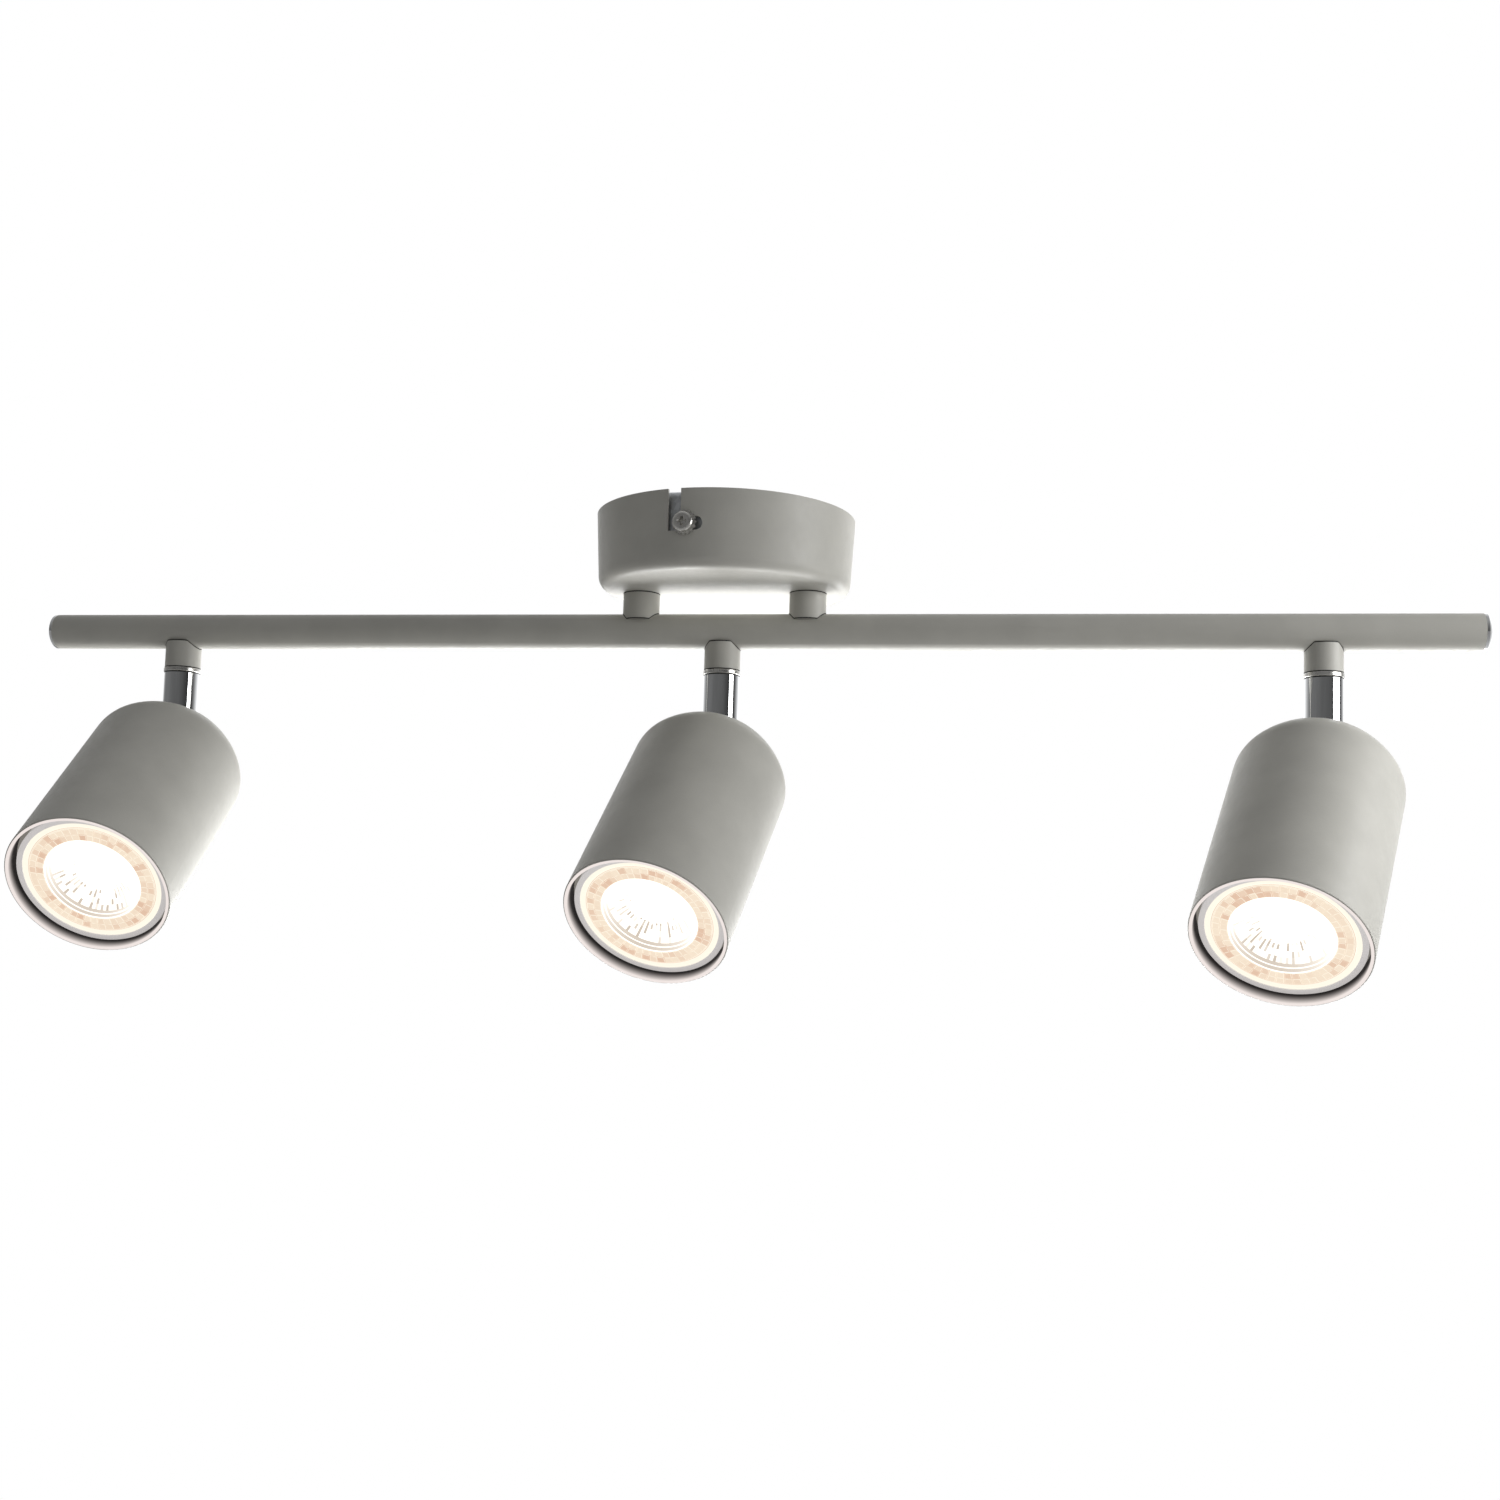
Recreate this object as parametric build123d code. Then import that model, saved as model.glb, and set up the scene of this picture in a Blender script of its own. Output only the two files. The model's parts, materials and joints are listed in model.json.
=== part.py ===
from build123d import *
import os
from math import asin, atan2, cos, degrees, radians, sin, sqrt

# Three-light ceiling bar with swivelling GU10 spot heads.
# Millimetres. The origin is on the ceiling, above the middle of the bar; +X runs
# along the bar, +Z points up into the ceiling and the heads shine towards -Y.

# ---------------------------------------------------------------- driving sizes
bar_length = 510.0
bar_diameter = 12.7
bar_wall = 1.2
bar_drop = 40.0                 # ceiling to bar axis
spot_pitch = 204.6

canopy_rim_diameter = 91.6
canopy_base_diameter = 88.8
canopy_height = 26.2
canopy_wall = 1.0
canopy_fillet = 4.0
bracket_gap = 0.4               # ceiling strap to the canopy's base, inside
bracket_turn = -7.0             # degrees that the ceiling strap is turned on the ceiling

strap_width = 16.0
strap_thickness = 1.5
strap_hole_circle = 60.0
strap_hole_radius = 2.5
cable_hole_radius = 5.5
earth_screw_offset = 16.0       # from the cable hole, towards -Y
tab_depth = 17.0
canopy_screw_drop = 11.7        # ceiling to canopy screw axis
canopy_screw_radius = 2.0       # M4
canopy_washer_radius = 4.2
canopy_washer_thickness = 0.6
keyhole_width = 4.6
keyhole_entry_offset = -3.75    # entry channel, sideways from the screw
keyhole_branch_reach = 6.0      # closed end of the branch, sideways from the screw

terminal_width = 24.0
terminal_depth = 15.0
terminal_height = 11.0
terminal_front = 8.0            # face of the terminal block, from the bar's plane
terminal_poles = 3
lead_radius = 1.2
lead_rise = 13.0                # canopy floor to the crown of the leads

post_spacing = 60.0
post_diameter = 13.0
saddle_depth = 2.5              # how far the ends of posts and stubs lap over the bar
nipple_radius = 4.0             # M8 x 1 hollow threaded tube
nipple_bore_radius = 3.0
nipple_stand = 4.5              # thread above the canopy floor
canopy_nut_width = 12.0
canopy_nut_height = 2.5

stub_end_drop = 54.0            # ceiling to the lower end of a stub
ring_thickness = 1.5
ring_proud = 0.3                # the ring stands this far outside the stub
swivel_land = 0.9               # stem bore outside the nipple thread, seats the swivel washer
stem_end_wall = 2.5
pivot_drop = 84.0               # ceiling to the tilt axes
pivot_radius = 2.0              # M4
stem_flat = 5.8                 # half width across the flats at the pivot
pivot_washer_radius = 4.0
pivot_head_height = 1.8
pivot_nut_width = 5.4
pivot_nut_height = 1.6
pivot_end = 2.0                 # pivot screw past the far ear

head_wall = 1.3
head_clearance = 1.1            # head bore around the lamp
head_rim_reach = 84.5           # tilt axis to the open rim
head_apex_reach = 6.5           # tilt axis to the top of the dome
dome_excess = 2.2               # dome radius over the head's own radius
shoulder_radius = 9.0

lamp_diameter = 50.0
lamp_recess = 3.6               # lamp face behind the rim
lamp_length = 50.0              # lamp face to lamp base, without the pins
lamp_sag = 0.6                  # a lamp hangs a little low in its holder
bezel_width = 1.85
lens_thickness = 1.6
lens_inset = 0.35               # lens behind the bezel
holder_width = 20.0
holder_depth = 16.0
holder_corner = 5.0
lug_width = 8.0

pan_angles = (5.5, -10.6, -21.3)     # each head as it is aimed, 0 is straight at -Y
tilt_angles = (51.3, 44.9, 44.3)     # each head as it is aimed, 0 is straight down
pan_limit = 165.0
tilt_limit = 60.0

# clearances
thread_gap = 0.05               # a threaded or running shaft in its hole
slide_gap = 0.1                 # flat faces that turn on each other
loose_gap = 0.55                # pieces that swing past each other
insert_gap = 0.03               # a plug pushed into a tube

# ---------------------------------------------------------------- worked out
bar_radius = bar_diameter / 2
bar_bore = bar_radius - bar_wall
stem_radius = bar_radius
stem_bore = nipple_radius + swivel_land
lamp_radius = lamp_diameter / 2
lens_radius = lamp_radius - bezel_width
head_radius = lamp_radius + head_clearance + head_wall
dome_radius = head_radius + dome_excess
strap_reach = canopy_base_diameter / 2 - canopy_wall - bracket_gap
canopy_floor = -canopy_height + canopy_wall
lead_port_height = canopy_floor + terminal_height / 2
lead_crown = canopy_floor + lead_rise
lead_bar_height = -bar_drop - lead_radius
terminal_screw_rows = (terminal_front + 4, terminal_front + terminal_depth - 4)
spot_places = (-spot_pitch, 0.0, spot_pitch)
post_places = (-post_spacing / 2, post_spacing / 2)
stem_top = -stub_end_drop - ring_thickness - slide_gap
collar_depth = 2.2              # how far a drawn thread collar reaches into the bar
washer_thickness = 0.8
bolt_flange_thickness = 1.6
stop_pin_radius = 0.5
stop_circle = (nipple_radius + stem_radius) / 2
groove_depth = 1.3

ear_thickness = 1.2
ear_inner = stem_radius + loose_gap
ear_outer = ear_inner + ear_thickness
plate_top = -10.8               # bracket plate below the tilt axis, in a head's frame
plate_bottom = plate_top - ear_thickness
boss_radius = 3.0
boss_gap = 0.4                  # pivot screw's end to the bosses
boss_spacing = 2 * (ear_outer + pivot_end + boss_gap + boss_radius)
small_screw_radius = 1.5        # M3
lug_thickness = 3.0
head_rim = -head_rim_reach
lamp_face = head_rim + lamp_recess
lamp_base = lamp_face + lamp_length
lens_front = lamp_face + lens_inset
lens_back = lens_front + lens_thickness
reflector_depth = 19.0
board_radius = 10.0
board_thickness = 1.6
pin_spacing = 10.0
pin_length = 6.0


# ---------------------------------------------------------------- helpers
def rod(radius, low, high, x=0.0, y=0.0):
    """Upright cylinder between two heights."""
    centre = Pos(x, y, (low + high) / 2)
    return centre * Cylinder(radius, high - low)


def tube(outer, inner, low, high, x=0.0, y=0.0):
    return rod(outer, low, high, x, y) - rod(inner, low - 1, high + 1, x, y)


def block(x0, x1, y0, y1, z0, z1):
    return Pos((x0 + x1) / 2, (y0 + y1) / 2, (z0 + z1) / 2) * Box(x1 - x0, y1 - y0, z1 - z0)


def cross_rod(radius, x0, x1, y=0.0, z=0.0):
    """Cylinder lying along X."""
    return Pos((x0 + x1) / 2, y, z) * Rot(0, 90, 0) * Cylinder(radius, x1 - x0)


def turned(points):
    """Solid of revolution about Z from (radius, height) points."""
    outline = make_face(Polyline(*[(r, 0, z) for r, z in points], close=True))
    return revolve(outline, Axis.Z)


def hexagon(across_flats, low, high, x=0.0, y=0.0):
    outline = RegularPolygon(across_flats / 2, 6, major_radius=False)
    return Pos(x, y, low) * extrude(outline, high - low)


def cross_recess(width, depth):
    """Cross-shaped driver recess that opens at z = 0 and goes down."""
    arm = width / 4
    cross = Box(width, arm, 2 * depth) + Box(arm, width, 2 * depth)
    return cross & Cone(0.2 * width, 0.6 * width, 2 * depth)


def pan_screw(radius, length, head_radius_, head_height):
    """Pan head screw, head up, its seat at z = 0 and its shank below."""
    head = rod(head_radius_, 0, head_height)
    head = fillet(head.edges().group_by(Axis.Z)[-1], head_height * 0.45)
    shank = rod(radius, -length, 0.1)
    return head + shank - Pos(0, 0, head_height) * cross_recess(1.1 * head_radius_, 0.55 * head_height)


def save(shape, name):
    export_step(shape, f"parts/{name}.step")


def save_group(shapes, name):
    save(Compound(children=list(shapes)), name)


# ---------------------------------------------------------------- ceiling end
def canopy_radius(depth):
    """Outer radius of the tapered canopy at a depth below the ceiling."""
    rim = canopy_rim_diameter / 2
    base = canopy_base_diameter / 2
    return rim + (base - rim) * depth / canopy_height


def washer_seat():
    """Flat seat that the lock washer finds on the tapered canopy wall."""
    return canopy_radius(canopy_screw_drop - canopy_washer_radius) + thread_gap


def canopy_cup(inset):
    rim = canopy_rim_diameter / 2 - inset
    base = canopy_base_diameter / 2 - inset
    top = 1.0 if inset else 0.0
    bottom = -canopy_height + inset
    cup = turned([(0, bottom), (base, bottom), (rim, top), (0, top)])
    edge = cup.edges().group_by(Axis.Z)[0]
    return fillet(edge, canopy_fillet - inset)


def keyhole():
    """J-shaped slot in the canopy wall, for a screw on the -Y side."""
    half = keyhole_width / 2
    wall = canopy_rim_diameter / 2
    lowest = -canopy_screw_drop - half
    entry = block(keyhole_entry_offset - half, keyhole_entry_offset + half,
                  -wall - 1, -wall + 8, lowest, 1)
    branch_end = keyhole_branch_reach - half
    branch = block(keyhole_entry_offset, branch_end, -wall - 1, -wall + 8,
                   lowest, -canopy_screw_drop + half)
    end = Pos(branch_end, -wall + 3.5, -canopy_screw_drop) * Rot(90, 0, 0) * Cylinder(half, 9)
    return entry + branch + end


def both_sides(shape):
    """A strap-end feature and its twin on the far side, turned with the strap."""
    return [Rot(0, 0, bracket_turn + turn) * shape for turn in (0, 180)]


def canopy():
    shell = canopy_cup(0) - canopy_cup(canopy_wall)
    for slot in both_sides(keyhole()):
        shell -= slot
    for x in post_places:
        shell -= rod(nipple_radius + thread_gap, -canopy_height - 1, canopy_floor + 1, x)
    return shell


def ceiling_bracket():
    outer = block(-strap_width / 2, strap_width / 2, -strap_reach, strap_reach, -tab_depth, 0)
    outer = fillet(outer.edges().filter_by(Axis.X).group_by(Axis.Z)[-1], strap_thickness + 1)
    inside = block(-strap_width, strap_width, -strap_reach + strap_thickness,
                   strap_reach - strap_thickness, -tab_depth - 1, -strap_thickness)
    inside = fillet(inside.edges().filter_by(Axis.X).group_by(Axis.Z)[-1], 1)
    strap = outer - inside
    for y in (-1, 1):
        strap -= rod(strap_hole_radius, -3, 1, 0, y * strap_hole_circle / 2)
        tapped = Pos(0, y * strap_reach, -canopy_screw_drop) * Rot(90, 0, 0)
        strap -= tapped * Cylinder(canopy_screw_radius + thread_gap, 6)
    strap -= rod(cable_hole_radius, -3, 1)
    strap -= rod(canopy_screw_radius + thread_gap, -3, 1, 0, -earth_screw_offset)
    return Rot(0, 0, bracket_turn) * strap


def earth_screw():
    """Green earth screw hanging under the strap, beside the cable hole."""
    screw = pan_screw(canopy_screw_radius, 3.2, 3.6, 2.2)
    placed = Pos(0, -earth_screw_offset, -strap_thickness) * Rot(180, 0, 0) * screw
    return Rot(0, 0, bracket_turn) * placed


def toothed_washer():
    """External-tooth lock washer, flat on z = 0."""
    washer = tube(canopy_washer_radius - 0.5, canopy_screw_radius + 0.1, 0, canopy_washer_thickness)
    teeth = [Rot(0, 0, 22.5 * k) * block(0, canopy_washer_radius, -0.4, 0.4, 0, canopy_washer_thickness)
             for k in range(16)]
    teeth = [tooth - rod(canopy_screw_radius + 0.1, -1, 2) for tooth in teeth]
    return washer + teeth


def facing_front(shape, seat):
    """Puts a shape made head up on z = 0 onto the -Y side, head outwards."""
    return Pos(0, -seat, -canopy_screw_drop) * Rot(90, 0, 0) * shape


def canopy_fasteners():
    seat = washer_seat()
    screw_seat = seat + canopy_washer_thickness
    screw = pan_screw(canopy_screw_radius, 8.0, 3.5, 2.4)
    save_group(both_sides(facing_front(screw, screw_seat)), "canopy_screws")
    save_group(both_sides(facing_front(toothed_washer(), seat)), "canopy_screw_washers")


def pole_places():
    step = terminal_width / terminal_poles
    return [(k - (terminal_poles - 1) / 2) * step for k in range(terminal_poles)]


def terminal_block():
    back = terminal_front + terminal_depth
    half = terminal_width / 2
    body = block(-half, half, terminal_front, back, canopy_floor, canopy_floor + terminal_height)
    body = fillet(body.edges().filter_by(Axis.Z), 1.2)
    for x in pole_places():
        lead_hole = Pos(x, terminal_front + terminal_depth / 2, lead_port_height)
        body -= lead_hole * Rot(90, 0, 0) * Cylinder(1.6, terminal_depth + 2)
        for y in terminal_screw_rows:
            body -= rod(1.9, lead_port_height, canopy_floor + terminal_height + 1, x, y)
    return body


def terminal_screws():
    top = canopy_floor + terminal_height - 1.0
    screw = rod(1.8, lead_port_height + 2.0, top) - block(-2, 2, -0.3, 0.3, top - 0.8, top + 1)
    return [Pos(x, y, 0) * screw for x in pole_places() for y in terminal_screw_rows]


# ---------------------------------------------------------------- bar
def bar_solid(radius, length):
    return Pos(0, 0, -bar_drop) * Rot(0, 90, 0) * Cylinder(radius, length)


def bar_tube():
    solid = bar_solid(bar_radius, bar_length)
    bore = bar_solid(bar_bore, bar_length + 2)
    wall_top = -bar_drop + bar_bore
    wall_bottom = -bar_drop - bar_bore
    collar_radius = nipple_radius + 0.9
    shell = solid - bore
    for x in post_places:
        collar = rod(collar_radius, wall_top - collar_depth, -bar_drop + bar_radius, x)
        shell += collar & solid
        shell -= rod(nipple_radius, -bar_drop, -bar_drop + bar_radius + 1, x)
    for x in spot_places:
        collar = rod(collar_radius, -bar_drop - bar_radius, wall_bottom + collar_depth, x)
        shell += collar & solid
        shell -= rod(nipple_radius, -bar_drop - bar_radius - 1, -bar_drop, x)
    return shell


def end_cap():
    """Chrome plug for the end of the bar at +X, in the bar's own frame."""
    side = 0.9
    rise = 2.0
    sphere_radius = (bar_radius ** 2 + rise ** 2) / (2 * rise)
    cap = cross_rod(bar_radius, 0, side + rise)
    cap &= Pos(side + rise - sphere_radius, 0, 0) * Sphere(sphere_radius)
    spigot = cross_rod(bar_bore - insert_gap, -7, 0.1)
    spigot -= cross_rod(bar_bore - 1.2, -8, -1.5)
    return cap + spigot


def end_caps():
    right = Pos(bar_length / 2, 0, -bar_drop) * end_cap()
    left = Pos(-bar_length / 2, 0, -bar_drop) * Rot(0, 0, 180) * end_cap()
    save(right, "end_cap_right")
    save(left, "end_cap_left")


def post(x):
    low = -bar_drop + bar_radius - saddle_depth
    column = tube(post_diameter / 2, nipple_radius + thread_gap, low, -canopy_height, x)
    return column - bar_solid(bar_radius, bar_length)


def post_nipple(x):
    bottom = -bar_drop + bar_bore - collar_depth
    return tube(nipple_radius - thread_gap, nipple_bore_radius, bottom, canopy_floor + nipple_stand, x)


def canopy_nut(x):
    top = canopy_floor + canopy_nut_height
    nut = hexagon(canopy_nut_width, canopy_floor, top, x)
    return nut - rod(nipple_radius, canopy_floor - 1, top + 1, x)


# ---------------------------------------------------------------- pan joint
def head_stub(x):
    high = -bar_drop - bar_radius + saddle_depth
    stub = tube(stem_radius, nipple_radius + thread_gap, -stub_end_drop, high, x)
    stub -= bar_solid(bar_radius, bar_length)
    bottom = stub.edges().filter_by(GeomType.CIRCLE).group_by(Axis.Z)[0].sort_by(SortBy.RADIUS)[-1]
    return chamfer(bottom, 0.25) - stop_pin_hole(x)


def stop_pin_hole(x):
    return rod(stop_pin_radius + thread_gap, stem_top - 2, -stub_end_drop + 3, x, stop_circle)


def friction_ring(x):
    low = -stub_end_drop - ring_thickness
    ring = tube(stem_radius + ring_proud, nipple_radius + thread_gap, low, -stub_end_drop, x)
    rims = ring.edges().filter_by(GeomType.CIRCLE).sort_by(SortBy.RADIUS)[-2:]
    return fillet(rims, 0.3) - stop_pin_hole(x)


def pan_stop_pin(x):
    return rod(stop_pin_radius, stem_top - groove_depth + 0.3, -stub_end_drop + 2.9, x, stop_circle)


def swivel_bolt(x):
    """Hollow shoulder bolt: hangs the stem from the stub and lets the leads through."""
    shoulder_low = stem_top - stem_end_wall - slide_gap - washer_thickness
    flange_low = shoulder_low - bolt_flange_thickness
    bolt = rod(nipple_radius - thread_gap, flange_low, -bar_drop - bar_bore + collar_depth, x)
    bolt += rod(stem_bore - 0.1 - insert_gap, flange_low, shoulder_low, x)
    bolt -= rod(nipple_bore_radius, flange_low - 1, -bar_drop, x)
    return bolt - block(x - 10, x + 10, -0.8, 0.8, flange_low - 1, flange_low + 0.8)


def swivel_washer(x):
    high = stem_top - stem_end_wall - slide_gap
    return tube(stem_bore - 0.2, nipple_radius, high - washer_thickness, high, x)


def stem():
    """Chrome stem from the friction ring down to the tilt pivot, on the Z axis."""
    body = rod(stem_radius, -pivot_drop, stem_top) + Pos(0, 0, -pivot_drop) * Sphere(stem_radius)
    body -= rod(stem_bore, -pivot_drop - 10, stem_top - stem_end_wall)
    body -= rod(nipple_radius, stem_top - stem_end_wall - 1, stem_top + 1)
    flats_top = -pivot_drop + stem_radius - loose_gap
    for side in (-1, 1):
        low, high = sorted((side * stem_flat, side * 10))
        body -= block(low, high, -10, 10, -pivot_drop - 10, flats_top)
    body -= cross_rod(pivot_radius + thread_gap, -10, 10, 0, -pivot_drop)
    rim = body.edges().filter_by(GeomType.CIRCLE).group_by(Axis.Z)[-1].sort_by(SortBy.RADIUS)[-1]
    body = chamfer(rim, 0.3)
    return body - stop_groove()


def stop_groove():
    """Ring groove in the stem's top face, with a land that meets the stop pin at the limits."""
    pin_half_angle = degrees(asin(stop_pin_radius / stop_circle))
    land_half_angle = 180 - pan_limit - pin_half_angle
    half = stop_pin_radius + 0.1
    outline = Polyline((stop_circle - half, 0, stem_top - groove_depth),
                       (stop_circle + half, 0, stem_top - groove_depth),
                       (stop_circle + half, 0, stem_top + 1),
                       (stop_circle - half, 0, stem_top + 1), close=True)
    groove = revolve(make_face(outline), Axis.Z, 360 - 2 * land_half_angle)
    return Rot(0, 0, land_half_angle - 90) * groove


# ---------------------------------------------------------------- spot head
# A head is modelled pointing straight down, with its tilt axis on X through the origin.
def head_form(inset):
    """Closed can with a domed top and rounded shoulder; inset gives its inner skin."""
    radius = head_radius - inset
    dome = dome_radius - inset
    shoulder = shoulder_radius - inset
    apex = head_apex_reach - inset
    rim = head_rim - (5 if inset else 0)
    dome_centre = apex - dome
    shoulder_r = radius - shoulder
    reach = dome - shoulder
    shoulder_z = dome_centre + sqrt(reach ** 2 - shoulder_r ** 2)
    join_angle = atan2(shoulder_z - dome_centre, shoulder_r)
    mid_shoulder = join_angle / 2
    mid_dome = (join_angle + radians(90)) / 2

    def on_shoulder(angle):
        return (shoulder_r + shoulder * cos(angle), 0, shoulder_z + shoulder * sin(angle))

    def on_dome(angle):
        return (dome * cos(angle), 0, dome_centre + dome * sin(angle))

    side = Line((radius, 0, rim), on_shoulder(0))
    shoulder_arc = ThreePointArc(on_shoulder(0), on_shoulder(mid_shoulder), on_dome(join_angle))
    dome_arc = ThreePointArc(on_dome(join_angle), on_dome(mid_dome), (0, 0, apex))
    axis_line = Line((0, 0, apex), (0, 0, rim))
    floor = Line((0, 0, rim), (radius, 0, rim))
    return revolve(make_face(side + shoulder_arc + dome_arc + axis_line + floor), Axis.Z)


def slot_reach():
    """How far the slot runs from the head's axis, so that the stem clears it at full tilt."""
    tilt = radians(tilt_limit)
    edge = stem_radius + loose_gap
    centre = head_apex_reach - dome_radius
    b = edge * cos(tilt) * sin(tilt) - (edge * sin(tilt) + centre) * cos(tilt)
    c = (edge * cos(tilt)) ** 2 + (edge * sin(tilt) + centre) ** 2 - dome_radius ** 2
    along = -b + sqrt(b * b - c)
    return along * sin(tilt) + edge * cos(tilt)


def stem_slot():
    half = stem_radius + loose_gap
    end = -slot_reach()
    slot = block(-half, half, end, 0, -6, head_apex_reach + 2)
    return slot + rod(half, -6, head_apex_reach + 2)


def boss_places():
    return (-boss_spacing / 2, boss_spacing / 2)


def head_shell():
    shell = head_form(0) - head_form(head_wall)
    for x in boss_places():
        boss = rod(boss_radius, plate_top, head_apex_reach, x) & head_form(head_wall / 2)
        shell += boss
        shell -= rod(small_screw_radius + thread_gap, plate_top - 1, plate_top + 7.5, x)
    shell -= stem_slot()
    outer_rim = shell.edges().filter_by(GeomType.CIRCLE).group_by(Axis.Z)[0]
    return fillet(outer_rim, 0.35)


def hinge_bracket():
    """Folded steel U: a plate under the bosses and two ears beside the stem."""
    plate_half = boss_spacing / 2 + 4
    plate = block(-plate_half, plate_half, -8, 8, plate_bottom, plate_top)
    plate = fillet(plate.edges().filter_by(Axis.Z), 3)
    plate -= rod(4.5, plate_bottom - 1, plate_top + 1)
    ears = []
    for side in (-1, 1):
        low, high = sorted((side * ear_inner, side * ear_outer))
        ear = block(low, high, -5.5, 5.5, plate_bottom, 0) + cross_rod(5.5, low, high)
        ears.append(ear - cross_rod(pivot_radius + thread_gap, -20, 20))
    bracket = plate + ears
    for x in boss_places():
        bracket -= rod(small_screw_radius + 0.15, plate_bottom - 1, plate_top + 1, x)
    return bracket & head_form(head_wall + 0.3)


def pivot_screw():
    head = pan_screw(pivot_radius, 1, 1.5 * pivot_radius, pivot_head_height)
    shank = cross_rod(pivot_radius, -ear_outer - 0.5, ear_outer + pivot_end)
    return Pos(-ear_outer, 0, 0) * Rot(0, -90, 0) * head + shank


def pivot_nut():
    nut = hexagon(pivot_nut_width, 0, pivot_nut_height) - rod(pivot_radius + thread_gap, -1, 4)
    return Pos(ear_outer, 0, 0) * Rot(0, 90, 0) * nut


def pivot_washers():
    washer = tube(pivot_washer_radius, pivot_radius + thread_gap, stem_flat + thread_gap, ear_inner)
    return [Rot(0, 90, 0) * washer, Rot(0, -90, 0) * washer]


def pin_places():
    return (-pin_spacing / 2, pin_spacing / 2)


def lampholder():
    """White ceramic GU10 holder with two keyhole slots and two screw lugs."""
    low = lamp_base + 0.2
    half_width = holder_width / 2
    half_depth = holder_depth / 2
    body = block(-half_width, half_width, -half_depth, half_depth, low, plate_bottom)
    body = Pos(0, lamp_sag, 0) * fillet(body.edges().filter_by(Axis.Z), holder_corner)
    lug_end = lug_width / 2 - 0.5
    lug_reach = boss_spacing / 2 + lug_end
    lugs = block(-lug_reach, lug_reach, -lug_width / 2, lug_width / 2,
                 plate_bottom - lug_thickness, plate_bottom)
    body += fillet(lugs.edges().filter_by(Axis.Z), lug_end)
    for x in boss_places():
        body -= rod(small_screw_radius + 0.15, plate_bottom - 5, plate_bottom + 1, x)
    for x in pin_places():
        body -= rod(2.9, low - 1, low + pin_length + 1.0, x, lamp_sag)
    return body


def bracket_screws():
    seat = plate_bottom - lug_thickness
    screw = Rot(180, 0, 0) * pan_screw(small_screw_radius, 9.0, 2.8, 2.0)
    return [Pos(x, 0, seat) * screw for x in boss_places()]


def reflector_radius(depth):
    """Inner radius of the lamp's dish at a depth behind the lens."""
    mouth = lens_radius - 0.9
    throat = 6.0
    return throat + (mouth - throat) * sqrt(max(0.0, 1 - depth / reflector_depth))


def lamp_body():
    """Lamp housing: front bezel, tapering sides, base and the dish inside."""
    flange = 3.2
    outer = [(lamp_radius, lamp_face), (lamp_radius, lamp_face + flange),
             (lamp_radius - 1.2, lamp_face + flange + 0.6), (18.5, lamp_face + 20),
             (15.2, lamp_face + 29), (14.8, lamp_base - 1.0), (13.8, lamp_base), (0, lamp_base)]
    throat = lens_back + reflector_depth
    dish = [(reflector_radius(reflector_depth * k / 6), lens_back + reflector_depth * k / 6)
            for k in range(6, -1, -1)]
    pocket = [(0, throat + board_thickness), (board_radius, throat + board_thickness),
              (board_radius, throat)]
    lens_seat = [(lens_radius, lens_back), (lens_radius, lamp_face)]
    body = turned(outer + pocket + dish + lens_seat)
    for x in pin_places():
        body -= rod(1.3, lamp_base - 3, lamp_base + 1, x)
    return Pos(0, lamp_sag, 0) * body


def lamp_lens():
    lens = rod(lens_radius - insert_gap, lens_front, lens_back)
    return Pos(0, lamp_sag, 0) * lens


def lamp_led_board():
    low = lens_back + reflector_depth
    board = rod(board_radius - insert_gap, low, low + board_thickness)
    emitter = rod(4.5, low - 0.6, low + 0.1)
    return Pos(0, lamp_sag, 0) * (board + emitter)


def lamp_pins():
    pins = []
    for x in pin_places():
        shank = rod(1.25, lamp_base - 2.9, lamp_base + pin_length, x, lamp_sag)
        foot = rod(2.45, lamp_base + pin_length - 2.6, lamp_base + pin_length, x, lamp_sag)
        pins.append(shank + foot)
    return pins


# ---------------------------------------------------------------- leads
def lead(port, row, post_x, spot_x):
    """Sleeved twin lead: terminal block, over and down a post, along the bar, down a stem."""
    side = 1 if post_x > port else -1
    rise = port + side * 11
    points = [(port, terminal_front + 3, lead_port_height), (port, row, lead_port_height),
              (rise, row, lead_crown), (post_x, row, lead_crown),
              (post_x, row, lead_bar_height), (spot_x, row, lead_bar_height),
              (spot_x, row, stem_top - stem_end_wall - 6)]
    path = FilletPolyline(*points, radius=[3.5, 4, 5, 3.4, 3.4])
    profile = Plane(origin=points[0], z_dir=(0, -1, 0)) * Circle(lead_radius)
    return sweep(profile, path)


def internal_leads():
    left_port, middle_port, right_port = pole_places()
    left_post, right_post = post_places
    return [lead(left_port, -1.5, left_post, spot_places[0]),
            lead(middle_port, 1.5, left_post, spot_places[1]),
            lead(right_port, 1.5, right_post, spot_places[2])]


# ---------------------------------------------------------------- build
def build_root():
    save(canopy(), "canopy")
    save(ceiling_bracket(), "ceiling_bracket")
    save(earth_screw(), "earth_screw")
    canopy_fasteners()
    save(terminal_block(), "terminal_block")
    save_group(terminal_screws(), "terminal_screws")
    save(bar_tube(), "bar_tube")
    end_caps()
    for name, x in zip(("post_left", "post_right"), post_places):
        save(post(x), name)
    save_group([post_nipple(x) for x in post_places], "post_nipples")
    save_group([canopy_nut(x) for x in post_places], "canopy_nuts")
    save_group([friction_ring(x) for x in spot_places], "friction_rings")
    save_group([pan_stop_pin(x) for x in spot_places], "pan_stop_pins")
    save_group([swivel_bolt(x) for x in spot_places], "swivel_bolts")
    save_group([swivel_washer(x) for x in spot_places], "swivel_washers")
    save_group(internal_leads(), "internal_leads")


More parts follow.
